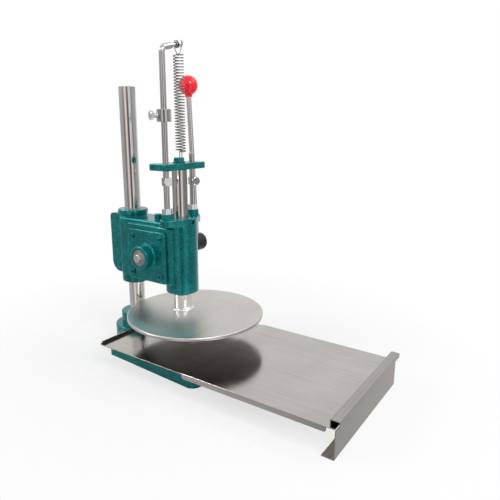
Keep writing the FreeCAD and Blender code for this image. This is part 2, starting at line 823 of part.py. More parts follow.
def make_clamp_ears():
    ears = []
    outer = -size("column_offset") - size("ear_reach")
    top, foot = (at_level(size("head_bottom") + size(end)) for end in ("ear_top", "ear_bottom"))

    def outer_corner(level):
        return lambda edge: parallel(Y)(edge) and level(edge) and abs(edge.valueAt(0).x - outer) < 0.01
    for name, start in (("near", "-clamp_slot / 2 - ear_thickness"), ("far", "clamp_slot / 2")):
        ear = box(f"{name}_ear_block", "ear_reach", "ear_thickness", "ear_top - ear_bottom",
                  ("-column_offset - ear_reach", start, "head_bottom + ear_bottom"))
        ear = rounded(f"{name}_ear_head", ear, "ear_top_corner", outer_corner(top))
        ears.append(rounded(f"{name}_ear", ear, "ear_foot_corner", outer_corner(foot)))
    return ears


def clamp_bolt_levels():
    return ("head_bottom + ear_top - clamp_bolt_drop", "head_bottom + ear_bottom + clamp_bolt_drop")


def make_bosses():
    axis = ("-column_offset", "0", "head_bottom")
    collar_at = ("-column_offset", "0", "head_bottom + boss_length - boss_collar")
    top = size("head_bottom") + size("boss_length")
    column_boss = cylinder("column_boss_round", "boss_radius", "boss_length - casting_round", axis)
    collar = cylinder("boss_collar_round", "boss_radius + boss_collar_step", "boss_collar", collar_at)
    housing = cylinder("ram_housing_round", "housing_diameter / 2", "flange_top - head_bottom",
                       ("0", "0", "head_bottom"))
    rear = cylinder("rear_boss_round", "rear_boss_diameter / 2", "rear_boss_end",
                    ("-shaft_offset", "0", "shaft_level"), Y)
    foot = at_level(size("head_bottom"))
    return [rounded("column_boss", column_boss, "head_round", foot),
            rounded("boss_collar_ring", collar, "casting_round", lambda edge: isinstance(edge.Curve, Part.Circle)),
            rounded("ram_housing", housing, "head_round", foot),
            rounded("rear_boss", rear, "casting_round", at_level(size("rear_boss_end"), Y))]


def make_head_holes():
    """Bores, the gear cavity, the clamp's slot and every tapped hole of the head."""
    low = "head_bottom - 1"
    holes = [
        cylinder("column_bore", "column_diameter / 2 + running_clearance", "housing_length * 2",
                 ("-column_offset", "0", low)),
        box("clamp_gap", "ear_reach", "clamp_slot", "housing_length * 2",
            ("-column_offset - ear_reach", "-clamp_slot / 2", low)),
        cylinder("ram_bore", "ram_diameter / 2 + running_clearance", "housing_length * 2", ("0", "0", low)),
        cylinder("gear_cavity", "cavity_radius", "pad_front + cavity_rear + 1",
                 ("-shaft_offset", "-pad_front - 1", "shaft_level"), Y),
        cylinder("rear_bush_bore", "bush_radius + seat_clearance", "rear_boss_end + 1",
                 ("-shaft_offset", "0", "shaft_level"), Y),
        cylinder("oil_hole", "oil_hole_diameter / 2", "housing_diameter / 2",
                 ("ram_diameter / 4", "0", "head_top - oil_hole_drop"), X),
    ]
    for side in ("", "-"):
        holes.append(cylinder("rod_thread", "rod_diameter / 2", "rod_seat + 1",
                              ("0", f"{side}rod_offset", "rod_foot - joint_gap")))
    for level in clamp_bolt_levels():
        holes.append(cylinder("clamp_bolt_hole", "small_thread / 2", "ear_thickness * 4",
                              ("-column_offset - clamp_bolt_reach", "-ear_thickness * 2", level), Y))
    for across, up in cover_screw_places():
        holes.append(cylinder("cover_thread", "cover_screw_diameter / 2", "cover_screw_length",
                              (across, "-pad_front - 1", up), Y))
    return holes


def make_head():
    blank = fuse("head_blank", *make_bosses(), *make_case(), *make_flange(), *make_clamp_ears())
    piece("head_casting", cut("head_casting", blank, *make_head_holes()))


def make_clamp_bolts():
    bolts = [hex_bolt(f"clamp_bolt_{i}", "small_flats", "small_head", "small_thread",
                      "clamp_slot + 2 * ear_thickness",
                      ("-column_offset - clamp_bolt_reach", "clamp_slot / 2 + ear_thickness", level), Y)
             for i, level in enumerate(clamp_bolt_levels(), 1)]
    piece("clamp_bolts", group("clamp_bolts", *bolts))


# Gear cover, its screws and the bushes

def cover_screw_places():
    return [(f"-shaft_offset {x} cover_screw_spread / 2", f"shaft_level {z} cover_screw_spread / 2")
            for x in "+-" for z in "+-"]


def make_cover():
    axis = "-shaft_offset", "shaft_level"
    block = box("cover_block", "cover_side", "cover_thickness", "cover_side",
                ("-shaft_offset - cover_side / 2", "-cover_front", "shaft_level - cover_side / 2"))
    plate = rounded("cover_plate", block, "cover_corner", parallel(Y))
    plate = rounded("cover_face", plate, "cover_round", at_level(-size("cover_front"), Y))
    root = cone("cover_boss_foot", "cover_boss_diameter / 2 + cover_boss_root", "cover_boss_diameter / 2",
                "cover_boss_root", (axis[0], "-cover_front", axis[1]), -Y)
    boss = cylinder("cover_boss_round", "cover_boss_diameter / 2", "cover_boss_length",
                    (axis[0], "-cover_boss_front", axis[1]), Y)
    boss = rounded("cover_boss", boss, "casting_round", at_level(-size("cover_boss_front"), Y))
    spigot = cylinder("cover_spigot", "cavity_radius - joint_gap", "cover_spigot",
                      (axis[0], "-pad_front", axis[1]), Y)
    bore = cylinder("front_bush_bore", "bush_radius + seat_clearance", "cover_boss_front",
                    (axis[0], "-cover_boss_front", axis[1]), Y)
    recess = cylinder("washer_recess", "cover_recess_diameter / 2", "cover_recess_depth",
                      (axis[0], "-cover_boss_front", axis[1]), Y)
    holes = [cylinder("cover_screw_hole", "cover_screw_diameter / 2", "cover_thickness * 2",
                      (across, "-cover_front - 1", up), Y) for across, up in cover_screw_places()]
    piece("gear_cover", cut("gear_cover", fuse("cover_solid", plate, boss, root, spigot), bore, recess, *holes))


def make_cover_screws():
    screws = []
    for i, (across, up) in enumerate(cover_screw_places(), 1):
        at = (across, "-cover_front", up)
        head = rounded(f"cover_head_{i}", cylinder(f"cover_head_round_{i}", "cover_screw_head / 2",
                       "cover_screw_head_height", at, -Y), "head_chamfer",
                       at_level(-size("cover_front") - size("cover_screw_head_height"), Y))
        shank = cylinder(f"cover_shank_{i}", "cover_screw_diameter / 2 - seat_clearance",
                         "cover_screw_length - cover_thickness", at, Y)
        drive = hexagon(f"cover_drive_{i}", "cover_screw_head / 2", "cover_screw_head_height",
                        (across, "-cover_front - cover_screw_head_height * 1.3", up), Y)
        screws.append(cut(f"cover_screw_{i}", fuse(f"cover_screw_blank_{i}", head, shank), drive))
    piece("cover_screws", group("cover_screws", *screws))


def make_bush(name, start, length):
    at = ("-shaft_offset", start, "shaft_level")
    sleeve = cylinder(f"{name}_sleeve", "bush_radius", length, at, Y)
    bore = cylinder(f"{name}_bore", "shaft_diameter / 2 + running_clearance", length, at, Y)
    piece(name, cut(name, sleeve, bore))


def make_bushes():
    make_bush("front_bush", "-recess_floor", "recess_floor - pad_front + cover_spigot")
    make_bush("rear_bush", "cavity_rear", "rear_boss_end - cavity_rear")


# Pinion, its shaft, key and end fastening

def involute_edges(teeth, module, pressure, slack):
    """The edges of a spur gear's outline, with one tooth on +X."""
    pitch, base = module * teeth / 2, module * teeth / 2 * math.cos(pressure)
    tip, root = pitch + module, pitch - 1.25 * module
    half = math.pi / (2 * teeth) - slack / (2 * pitch)

    def flank_angle(radius):
        spread = math.acos(min(1, base / radius))
        return half + (math.tan(pressure) - pressure) - (math.tan(spread) - spread)

    def polar(radius, angle):
        return Vector(radius * math.cos(angle), radius * math.sin(angle), 0)

    start, steps = max(base, root), 5
    radii = [start + (tip - start) * step / steps for step in range(steps + 1)]
    edges = []
    for tooth in range(teeth):
        middle = 2 * math.pi * tooth / teeth
        after = middle + 2 * math.pi / teeth
        rise = [polar(radius, middle - flank_angle(radius)) for radius in radii]
        fall = [polar(radius, middle + flank_angle(radius)) for radius in reversed(radii)]
        foot_in, foot_out = middle - flank_angle(start), middle + flank_angle(start)
        next_foot = after - flank_angle(start)
        for points in (rise, fall):
            flank = Part.BSplineCurve()
            flank.interpolate(points)
            edges.append(flank.toShape())
        edges.append(Part.Arc(rise[-1], polar(tip, middle), fall[0]).toShape())
        edges.append(Part.LineSegment(polar(root, foot_in), rise[0]).toShape())
        edges.append(Part.LineSegment(fall[-1], polar(root, foot_out)).toShape())
        edges.append(Part.Arc(polar(root, foot_out), polar(root, (foot_out + next_foot) / 2),
                              polar(root, next_foot)).toShape())
    return edges


def make_pinion():
    outline = Part.Wire(Part.__sortEdges__(involute_edges(
        int(size("pinion_teeth")), size("gear_module"), math.radians(size("pressure_angle")),
        size("rack_backlash") / 2)))
    width = size("pinion_width")
    blank = Part.Face(outline).extrude(Vector(0, 0, width))
    teeth = held("pinion_toothing", blank, Vector(-size("shaft_offset"), width / 2, size("shaft_level")),
                 Rotation(X, 90))
    hub_start = "-pad_front + cover_spigot + joint_gap"
    hub = cylinder("pinion_hub", "pinion_hub_diameter / 2", f"cavity_rear - joint_gap - ({hub_start})",
                   ("-shaft_offset", hub_start, "shaft_level"), Y)
    bore = cylinder("pinion_bore", "shaft_diameter / 2 + seat_clearance", "pad_front * 3",
                    ("-shaft_offset", "-pad_front * 1.5", "shaft_level"), Y)
    keyway = box("pinion_keyway", "key_width + 2 * seat_clearance", "pad_front * 3",
                 "shaft_diameter / 2 + key_height / 2 + seat_clearance",
                 ("-shaft_offset - key_width / 2 - seat_clearance", "-pad_front * 1.5", "shaft_level"))
    piece("pinion_gear", cut("pinion_gear", fuse("pinion_blank", teeth, hub), bore, keyway))


def make_shaft():
    at = ("-shaft_offset", "-shaft_front", "shaft_level")
    bar = cylinder("shaft_bar", "shaft_diameter / 2", "shaft_front + lever_hub_rear - joint_gap", at, Y)
    key_at = ("-shaft_offset - key_width / 2", "-pinion_width / 2", "shaft_level + shaft_diameter / 2 - key_height / 2")
    seat = box("key_seat", "key_width", "pinion_width", "key_height", key_at)
    thread = cylinder("end_thread", "small_thread / 2", "end_bolt_length + joint_gap", at, Y)
    piece("pinion_shaft", cut("pinion_shaft", bar, seat, thread))
    piece("shaft_key", box("shaft_key", "key_width - seat_clearance", "pinion_width - seat_clearance",
                           "key_height - seat_clearance",
                           ("-shaft_offset - (key_width - seat_clearance) / 2",
                            "-(pinion_width - seat_clearance) / 2", f"{key_at[2]} + seat_clearance / 2")))


def make_end_fastening():
    face = "-shaft_front - end_washer_thickness"
    disc = cylinder("end_washer_disc", "end_washer_diameter / 2", "end_washer_thickness",
                    ("-shaft_offset", face, "shaft_level"), Y)
    hole = cylinder("end_washer_hole", "small_thread / 2 + seat_clearance", "end_washer_thickness",
                    ("-shaft_offset", face, "shaft_level"), Y)
    piece("end_washer", cut("end_washer", disc, hole))
    piece("end_bolt", hex_bolt("end_bolt", "small_flats", "small_head", "small_thread", "end_bolt_length",
                               ("-shaft_offset", face, "shaft_level"), -Y))


# Lever

def lever_place(reach):
    """A point on the lever's centre line at a distance from the shaft."""
    return (f"-shaft_offset - ({reach}) * sin(lever_lean)", "lever_plane",
            f"shaft_level + ({reach}) * cos(lever_lean)")


def lever_direction():
    lean = math.radians(size("lever_lean"))
    return Vector(-math.sin(lean), 0, math.cos(lean))


def make_lever():
    up = lever_direction()
    radius = "lever_hub_diameter / 2"
    blank = bevelled("lever_hub_blank", cylinder("lever_hub_round", radius, "lever_hub_length",
                     ("-shaft_offset", "lever_hub_front", "shaft_level"), Y), "lever_hub_chamfer",
                     lambda edge: isinstance(edge.Curve, Part.Circle))
    bore = cylinder("lever_hub_bore", "shaft_diameter / 2 + seat_clearance", "lever_hub_length",
                    ("-shaft_offset", "lever_hub_front", "shaft_level"), Y)
    rod_hole = cylinder("lever_rod_hole", "lever_rod_diameter / 2 + seat_clearance", radius, lever_place("0"), up)
    lock_hole = cylinder("lever_lock_hole", "small_thread / 2", radius, lever_place("0"), -up)
    piece("lever_hub", cut("lever_hub", blank, bore, rod_hole, lock_hole))
    piece("lever_set_screw", grub_screw(
        "lever_set_screw", "small_thread", "(lever_hub_diameter - shaft_diameter) / 2 - 2 * joint_gap",
        lever_place("joint_gap - lever_hub_diameter / 2"), up))
    start = "shaft_diameter / 2 + joint_gap"
    piece("lever_rod", cylinder("lever_rod", "lever_rod_diameter / 2",
                                f"lever_length - ball_diameter / 2 + ball_socket - ({start})",
                                lever_place(start), up))


def make_ball():
    up = lever_direction()
    sphere = bind(doc.addObject("Part::Sphere", "ball_sphere"), Radius="ball_diameter / 2")
    put(sphere, lever_place("lever_length"))
    foot = "lever_length - ball_diameter / 2 - ball_neck_length"
    neck = cylinder("ball_neck", "ball_neck_diameter / 2", "ball_diameter / 2", lever_place(foot), up)
    socket = cylinder("ball_rod_socket", "lever_rod_diameter / 2 + seat_clearance",
                      "ball_neck_length + ball_socket + joint_gap", lever_place(foot), up)
    piece("lever_ball", cut("lever_ball", fuse("ball_solid", sphere, neck), socket))


# Guide rods, nuts, crossbar and stops

def make_guide_rods():
    piece("guide_rod_left", cylinder("guide_rod_left", "rod_diameter / 2", "coupling_middle - rod_foot",
                                     ("0", "-rod_offset", "rod_foot")))
    bar = cylinder("right_rod_bar", "rod_diameter / 2", "rod_seat + right_rod_rise", ("0", "rod_offset", "rod_foot"))
    piece("guide_rod_right", bevelled("guide_rod_right", bar, "column_chamfer",
                                      at_level(size("head_top") + size("right_rod_rise"))))
    nuts = []
    for side, y in (("left", "-rod_offset"), ("right", "rod_offset")):
        blank = hexagon(f"{side}_nut_blank", "large_flats", "nut_height", ("0", y, "head_top"))
        hole = cylinder(f"{side}_nut_hole", "rod_diameter / 2 + seat_clearance", "nut_height", ("0", y, "head_top"))
        nuts.append(cut(f"{side}_rod_nut", blank, hole))
    piece("rod_nuts", group("rod_nuts", *nuts))


def make_crossbar():
    body = doc.addObject("PartDesign::Body", "crossbar")
    outline = new_sketch(body, "crossbar_outline", "XY_Plane", "ram_top")
    rectangle(outline, "-crossbar_width / 2 - crossbar_set_back", "crossbar_width / 2 - crossbar_set_back",
              "-crossbar_length / 2", "crossbar_length / 2")
    bar = pad(body, outline, "crossbar_thickness")
    dress(body, "Chamfer", bar, any_edge, Size="crossbar_chamfer")
    holes = new_sketch(body, "crossbar_holes", "XY_Plane", "crossbar_top")
    circle(holes, "large_thread / 2 + joint_gap", "0", "0")
    for side in ("", "-"):
        circle(holes, "rod_diameter / 2 + running_clearance", "0", f"{side}rod_offset")
    pocket(body, holes, "crossbar_thickness")
    piece("crossbar", body)


def make_crossbar_bolt():
    seat = "crossbar_top + crossbar_washer_thickness"
    disc = cylinder("crossbar_washer_disc", "crossbar_washer_diameter / 2", "crossbar_washer_thickness",
                    ("0", "0", "crossbar_top"))
    hole = cylinder("crossbar_washer_hole", "large_thread / 2 + seat_clearance", "crossbar_washer_thickness",
                    ("0", "0", "crossbar_top"))
    piece("crossbar_washer", cut("crossbar_washer", disc, hole))
    bolt = hex_bolt("crossbar_bolt_solid", "large_flats", "large_head", "large_thread", "crossbar_bolt_length",
                    ("0", "0", seat))
    legs = [cylinder("anchor_hole", "anchor_wire / 2 + seat_clearance", "large_head",
                     (f"{side}anchor_span / 2", "spring_axis", "anchor_foot")) for side in ("", "-")]
    piece("crossbar_bolt", cut("crossbar_bolt", bolt, *legs))


def make_stops():
    """A collar and its clamping bolt on each guide rod, just under the crossbar."""
    collars, screws = [], []
    for side, y in (("left", "-rod_offset"), ("right", "rod_offset")):
        angle, foot = f"{side}_stop_angle", f"stop_top_{side} - stop_height"
        outward = heading(size(angle))
        blank = cylinder(f"{side}_collar_round", "stop_diameter / 2", "stop_height",
                         (f"stop_offset * cos({angle})", f"{y} + stop_offset * sin({angle})", foot))
        bore = cylinder(f"{side}_collar_bore", "rod_diameter / 2 + running_clearance", "stop_height",
                        ("0", y, foot))
        middle = f"{foot} + stop_height / 2"
        thread = cylinder(f"{side}_collar_thread", "small_thread / 2", "stop_diameter", ("0", y, middle), outward)
        collars.append(cut(f"{side}_stop_collar", blank, bore, thread))
        seat = "(stop_offset + stop_diameter / 2 + joint_gap)"
        screws.append(hex_bolt(f"{side}_stop_screw", "small_flats", "small_head", "small_thread",
                               f"{seat} - rod_diameter / 2 - joint_gap",
                               (f"{seat} * cos({angle})", f"{y} + {seat} * sin({angle})", middle), outward))
    piece("stop_collars", group("stop_collars", *collars))
    piece("stop_screws", group("stop_screws", *screws))


# Crane: the coupling, the bent rod and its end fastening

def make_coupling():
    at = ("0", "-rod_offset", "coupling_bottom")
    outward = heading(size("coupling_bolt_angle"))
    sleeve = bevelled("coupling_sleeve", cylinder("coupling_round", "coupling_diameter / 2", "coupling_length", at),
                      "head_chamfer", lambda edge: isinstance(edge.Curve, Part.Circle))
    bore = cylinder("coupling_bore", "rod_diameter / 2 + seat_clearance", "coupling_length", at)
    thread = cylinder("coupling_thread", "small_thread / 2", "coupling_diameter", ("0", "-rod_offset", "coupling_middle"),
                      outward)
    piece("rod_coupling", cut("rod_coupling", sleeve, bore, thread))
    seat = "(coupling_diameter / 2 + coupling_bolt_gap)"
    piece("coupling_bolt", hex_bolt(
        "coupling_bolt", "small_flats", "small_head", "small_thread", f"{seat} - rod_diameter / 2 - joint_gap",
        (f"{seat} * cos(coupling_bolt_angle)", f"{seat} * sin(coupling_bolt_angle) - rod_offset",
         "coupling_middle"), outward))


def swept(edges, radius):
    """A round tube along a path."""
    path = Part.Wire(edges)
    first = path.Edges[0]
    start = first.valueAt(first.FirstParameter)
    ring = Part.Wire(Part.Circle(start, first.tangentAt(first.FirstParameter), radius).toShape())
    return path.makePipeShell([ring], True, False)


def crane_direction():
    slope = math.radians(size("crane_slope"))
    return Vector(0, math.cos(slope), math.sin(slope))


def crane_place(reach):
    """A point on the arm's centre line at a distance from its corner."""
    return ("0", f"({reach}) * cos(crane_slope) - rod_offset", f"crane_corner + ({reach}) * sin(crane_slope)")


def make_crane():
    """An upright rod, bent into an arm that climbs to the spring and ends in a thinner stud."""
    corner = Vector(0, -size("rod_offset"), size("crane_corner"))
    along, bend = crane_direction(), size("crane_bend")
    half = math.radians(90 - size("crane_slope")) / 2
    before, after = corner - Z * bend * math.tan(half), corner + along * bend * math.tan(half)
    knee = corner + (along - Z).normalize() * bend * (1 / math.cos(half) - 1)
    foot = Vector(0, corner.y, size("coupling_middle") + size("joint_gap"))
    path = [Part.LineSegment(foot, before).toShape(), Part.Arc(before, knee, after).toShape(),
            Part.LineSegment(after, corner + along * size("crane_arm")).toShape()]
    rod = held("crane_bent_rod", swept(path, size("rod_diameter") / 2))
    stud = cylinder("crane_stud", "stud_diameter / 2", "crane_stud - crane_arm / 2",
                    crane_place("crane_arm / 2"), along)
    piece("crane_rod", fuse("crane_rod", rod, stud))


def make_crane_nut():
    along = crane_direction()
    start, seat = "crane_washer_reach", "crane_washer_reach + crane_washer_thickness"
    disc = cylinder("crane_washer_disc", "crane_washer_diameter / 2", "crane_washer_thickness",
                    crane_place(start), along)
    hole = cylinder("crane_washer_hole", "stud_diameter / 2 + seat_clearance", "crane_washer_thickness",
                    crane_place(start), along)
    piece("crane_washer", cut("crane_washer", disc, hole))
    blank = hexagon("crane_nut_blank", "crane_nut_flats", "crane_nut_length", crane_place(seat), along)
    thread = cylinder("crane_nut_thread", "stud_diameter / 2 + seat_clearance", "crane_nut_length",
                      crane_place(seat), along)
    piece("crane_nut", cut("crane_nut", blank, thread))


# Return spring, the hanger above it and the anchor below it

def bulge(start, leave, end):
    """The middle point of the arc between two points that leaves the first along a direction."""
    chord = end - start
    across = leave - chord * (leave.dot(chord) / chord.dot(chord))
    turn = leave.getAngle(chord)
    return start + chord * 0.5 + across.normalize() * (chord.Length / 2 * math.tan(turn / 2))


def biarc(start, leave, end, arrive):
    """Two arcs that join two points and keep their directions."""
    chord = end - start
    square = 2 * (1 - leave.dot(arrive))
    along = chord.dot(leave + arrive)
    reach = (math.sqrt(along * along + square * chord.dot(chord)) - along) / square
    meet = (start + leave * reach + end - arrive * reach) * 0.5
    return [Part.Arc(start, bulge(start, leave, meet), meet).toShape(),
            Part.Arc(meet, bulge(end, arrive * -1, meet), end).toShape()]


def hanger_heading():
    """The direction of the hanger's vertical plane: its wires leave the eyes on opposite sides."""
    return math.degrees(math.atan2(size("hanger_reach"), size("eye_radius")))


def spring_knots():
    """Points and directions every half turn, with a straight bar across the axis at each end."""
    radius, turns = size("spring_radius"), size("spring_turns") + hanger_heading() / 360
    low, high, tail = size("spring_bottom"), size("spring_top"), size("spring_tail")
    loop_rise = size("coil_pitch") / 8
    axis = size("spring_axis")

    def on_coil(part):
        angle = 2 * math.pi * turns * part
        rise = low + loop_rise + (high - low - 2 * loop_rise) * part
        slope = (high - low - 2 * loop_rise) / (2 * math.pi * turns)
        point = Vector(radius * math.cos(angle), axis + radius * math.sin(angle), rise)
        return point, Vector(-radius * math.sin(angle), radius * math.cos(angle), slope).normalize()

    last = math.radians(360 * turns)
    low_bar, high_bar = Vector(0, -1, 0), Vector(math.sin(last), -math.cos(last), 0)
    foot, head = Vector(0, axis, low), Vector(0, axis, high)
    steps = round(2 * turns)
    coil = [on_coil(step / steps) for step in range(steps + 1)]
    return [(foot - low_bar * tail, low_bar), (foot, low_bar)] + coil + [(head, high_bar),
                                                                          (head + high_bar * tail, high_bar)]


def least_gap(edges, wire):
    """The least space between turns of a coil, measured on points along its centre line."""
    marks, run = [], 0
    for edge in edges:
        low, high = edge.ParameterRange
        for step in range(8):
            marks.append((run + edge.Length * step / 8, edge.valueAt(low + (high - low) * step / 8)))
        run += edge.Length
    one_turn = math.pi * size("spring_diameter")
    return min(here.distanceToPoint(there) for index, (start, here) in enumerate(marks)
               for end, there in marks[index + 1:index + 80] if 4 * wire < end - start < 2 * one_turn) - wire


def make_spring():
    knots = spring_knots()
    edges = []
    for (start, leave), (end, arrive) in zip(knots, knots[1:]):
        if leave.getAngle(arrive) < 1e-6:
            edges.append(Part.LineSegment(start, end).toShape())
        else:
            edges += biarc(start, leave, end, arrive)
    wire = size("spring_wire")
    print(f"spring: least gap to itself {least_gap(edges, wire):.2f} mm")
    piece("return_spring", held("return_spring", swept(edges, wire / 2)))


def make_hanger():
    """A wire bent under the spring's end bar, with an eye round the crane's stud at each end."""
    wire, axis = size("hanger_wire"), Vector(0, size("spring_axis"), size("spring_top"))
    bend = (wire + size("spring_wire")) / 2 + size("joint_gap")
    across = heading(hanger_heading())
    reach = math.hypot(size("hanger_reach"), size("eye_radius"))
    climb = math.tan(math.radians(size("crane_slope")))
    eyes, wires = [], []
    for side in (-1, 1):
        centre = Vector(0, axis.y + side * size("hanger_reach"),
                        size("hanger_level") + side * size("hanger_reach") * climb)
        drop = centre.z - axis.z
        angle = math.atan2(drop, reach) - math.acos(bend / math.hypot(reach, drop))
        foot = axis + across * (side * bend * math.cos(angle)) + Z * (bend * math.sin(angle))
        top = axis + across * (side * reach) + Z * drop
        wires.append((top + (top - foot).normalize() * (wire / 3), foot))
        eyes.append(held(f"hanger_eye_{side}", Part.makeTorus(size("eye_radius"), size("eye_wire") / 2),
                         centre, facing(Y)))
    path = [Part.LineSegment(*wires[0]).toShape(),
            Part.Arc(wires[0][1], axis - Z * bend, wires[1][1]).toShape(),
            Part.LineSegment(*reversed(wires[1])).toShape()]
    piece("spring_hanger", fuse("spring_hanger", held("hanger_bail", swept(path, wire / 2)), *eyes))


def make_anchor():
    """A wire staple set in the bolt's head, over the spring's lower end bar."""
    wire, half, y = size("anchor_wire"), size("anchor_span") / 2, size("spring_axis")
    crown = size("anchor_crown")
    foot = size("anchor_foot") + size("seat_clearance")
    legs = [Vector(side * half, y, foot) for side in (-1, 1)]
    shoulders = [Vector(side * half, y, crown - half) for side in (-1, 1)]
    path = [Part.LineSegment(legs[0], shoulders[0]).toShape(),
            Part.Arc(shoulders[0], Vector(0, y, crown), shoulders[1]).toShape(),
            Part.LineSegment(shoulders[1], legs[1]).toShape()]
    piece("spring_anchor", held("spring_anchor", swept(path, wire / 2)))


# Build, check and write every piece

def check():
    doc.recompute()
    failed = [obj.Name for obj in doc.Objects if "Invalid" in obj.State or "Error" in obj.State]
    broken = [obj.Label for obj in PIECES if obj.Shape.isNull() or not obj.Shape.isValid()
              or not obj.Shape.Solids]
    if failed or broken:
        raise RuntimeError(f"failed objects {failed}, broken pieces {broken}")


def write():
    os.makedirs("parts", exist_ok=True)
    for obj in PIECES:
        obj.Shape.exportStep(f"parts/{obj.Label}.step")
        print(f"{obj.Label}: {len(obj.Shape.Solids)} solid(s), {obj.Shape.Volume:.0f} mm3")


for make in (make_base, make_column, make_bed_plate, make_bed_screws, make_tray, make_tray_handle,
             make_disc, make_hub, make_ram, make_head, make_clamp_bolts, make_cover, make_cover_screws,
             make_bushes, make_pinion, make_shaft, make_end_fastening, make_lever, make_ball,
             make_guide_rods, make_crossbar, make_crossbar_bolt, make_stops, make_coupling, make_crane,
             make_crane_nut, make_spring, make_hanger, make_anchor):
    make()
check()
write()
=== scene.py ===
import math

import bpy
from mathutils import Matrix, Vector


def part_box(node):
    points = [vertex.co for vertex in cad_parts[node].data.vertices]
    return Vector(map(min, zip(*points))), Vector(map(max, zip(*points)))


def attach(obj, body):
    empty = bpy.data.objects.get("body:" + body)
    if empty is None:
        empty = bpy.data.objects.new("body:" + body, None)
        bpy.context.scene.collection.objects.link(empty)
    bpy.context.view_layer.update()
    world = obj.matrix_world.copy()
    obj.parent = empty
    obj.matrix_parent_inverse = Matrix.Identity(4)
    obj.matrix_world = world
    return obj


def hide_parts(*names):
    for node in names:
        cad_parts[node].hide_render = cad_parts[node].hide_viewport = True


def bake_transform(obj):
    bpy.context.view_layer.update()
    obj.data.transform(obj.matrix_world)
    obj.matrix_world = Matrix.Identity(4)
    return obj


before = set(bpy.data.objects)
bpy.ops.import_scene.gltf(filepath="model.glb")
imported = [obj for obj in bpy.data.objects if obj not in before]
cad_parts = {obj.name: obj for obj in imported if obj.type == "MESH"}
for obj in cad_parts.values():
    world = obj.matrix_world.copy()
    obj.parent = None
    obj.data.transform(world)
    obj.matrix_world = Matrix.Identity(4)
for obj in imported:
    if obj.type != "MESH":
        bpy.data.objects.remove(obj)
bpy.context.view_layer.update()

MM = 0.001
FULL_TURN = 2 * math.pi

# Camera: the photograph's place, direction and angle of view
CAMERA_PLACE = Vector((0.5715, -0.6357, 0.4170))
CAMERA_YAW = math.radians(33.80)
CAMERA_PITCH = math.radians(14.02)
CAMERA_ROLL = math.radians(0.40)
FOCAL_SHARE = 492.48 / 500
SENSOR = 36
CLIP_START = 0.05
CLIP_END = 20

# Return spring: its wire, its turns up to the hanger's eye, and the bar across each end
SPRING_WIRE = 1.8 * MM
HANGER_REACH = 6.3 * MM
EYE_RADIUS = 4.15 * MM
SPRING_TURNS = 33 + math.atan2(HANGER_REACH, EYE_RADIUS) / FULL_TURN
SPRING_STEPS = 28
SPRING_LOOP_STEPS = 12
SPRING_SIDES = 12
SPRING_BAR = 3 * MM

# Weld between the disc and its hub: the bead's size, its ripples and how unevenly it was laid
WELD_RADIUS = 17.4 * MM
WELD_THICKNESS = 2.7 * MM
WELD_LIFT = 0.4 * MM
WELD_RIPPLES = 34
WELD_STEPS = 6 * WELD_RIPPLES
WELD_SIDES = 10
WELD_RIPPLE_SHARE = 0.14
WELD_WANDER_SHARE = 0.05
WELD_WANDERS = 5

# Tones of the enamel, the grip's plastic and the blackened steel
PAINT_TONES = ((0.0005, 0.080, 0.086), (0.001, 0.170, 0.176), (0.014, 0.420, 0.415))
RED_TONES = ((0.90, 0.010, 0.026), (0.96, 0.014, 0.034))
BLACK_TONES = ((0.008, 0.008, 0.010), (0.022, 0.021, 0.024))

# Patterns per metre: enamel, then sheet, bars, small parts, plastic and blackened steel
DIMPLES = 430
SPECKS = 520
POOLS = 40
CLOUDS = 11
RINGS = (12, 12, 1500)
PATCHES = (30, 30, 14)
MOTTLE = 260
PEEL = 180
GRAIN = 500

# Depths of the patterns' relief
DIMPLE_DEPTH = 0.20 * MM
SPECK_DEPTH = 0.07 * MM
BRUSH_DEPTH = 0.0015 * MM
RING_DEPTH = 0.003 * MM
MOTTLE_DEPTH = 0.02 * MM
PEEL_DEPTH = 0.004 * MM
GRAIN_DEPTH = 0.05 * MM

# Radii of rounded edges
PAINT_EDGE = 1.5 * MM
SHEET_EDGE = 0.4 * MM
SMALL_EDGE = 0.3 * MM
BLACK_EDGE = 0.5 * MM
EDGE_SAMPLES = 4

# Stainless sheet: brush marks per metre along X, Y and Z, then colour and roughness
SHEETS = {
    "brushed_tray": ((5, 620, 620), (0.535, 0.505, 0.472), 0.15),
    # The handle's sheet is the tray's stainless made darker: painted shade for the handle's apron.
    "brushed_handle_painted_shade": ((620, 5, 620), (0.420, 0.396, 0.372), 0.20),
}
# The disc's sheet; its underside gets a painted dark shade below the disc's lowest level.
DISC_SHEET = ((620, 9, 620), (0.645, 0.618, 0.588), 0.33)

# Round bars and small parts: colour and roughness
BARS = {
    "ground_bar": ((0.76, 0.75, 0.74), 0.05),
    "drawn_rod": ((0.60, 0.59, 0.585), 0.09),
    "turned_hub": ((0.90, 0.89, 0.87), 0.16),
}
# The ram's bar: colour and roughness; its flanks, as seen from the camera, get a painted dark reflection.
RAM_BAR = ((0.66, 0.65, 0.62), 0.09)
SMALL_PARTS = {
    "bright_weld": ((0.86, 0.85, 0.83), 0.18),
    "dull_washer": ((0.40, 0.39, 0.375), 0.40),
    "zinc_plate": ((0.74, 0.73, 0.71), 0.10),
    "machined_steel": ((0.36, 0.355, 0.35), 0.28),
    "spring_wire": ((0.26, 0.255, 0.25), 0.30),
    "bronze": ((0.62, 0.40, 0.18), 0.30),
}

# Painted dark: its colour, its share as painted shade on the disc's underside, and its share and reach as
# painted dark reflection on the ram's flanks seen from the camera
PAINTED_DARK = (0.05, 0.045, 0.04)
UNDERSIDE_SHADE_SHARE = 0.85
UNDERSIDE_SHADE_EDGE = 1 * MM
FLANK_DARK_SHARE = 0.93
CAMERA_ACROSS = Vector((0.831, 0.556))
FLANK_DARK_STARTS = 7 * MM
FLANK_DARK_FULL = 14 * MM
FLANK_DARK_UNEVEN = 1 * MM

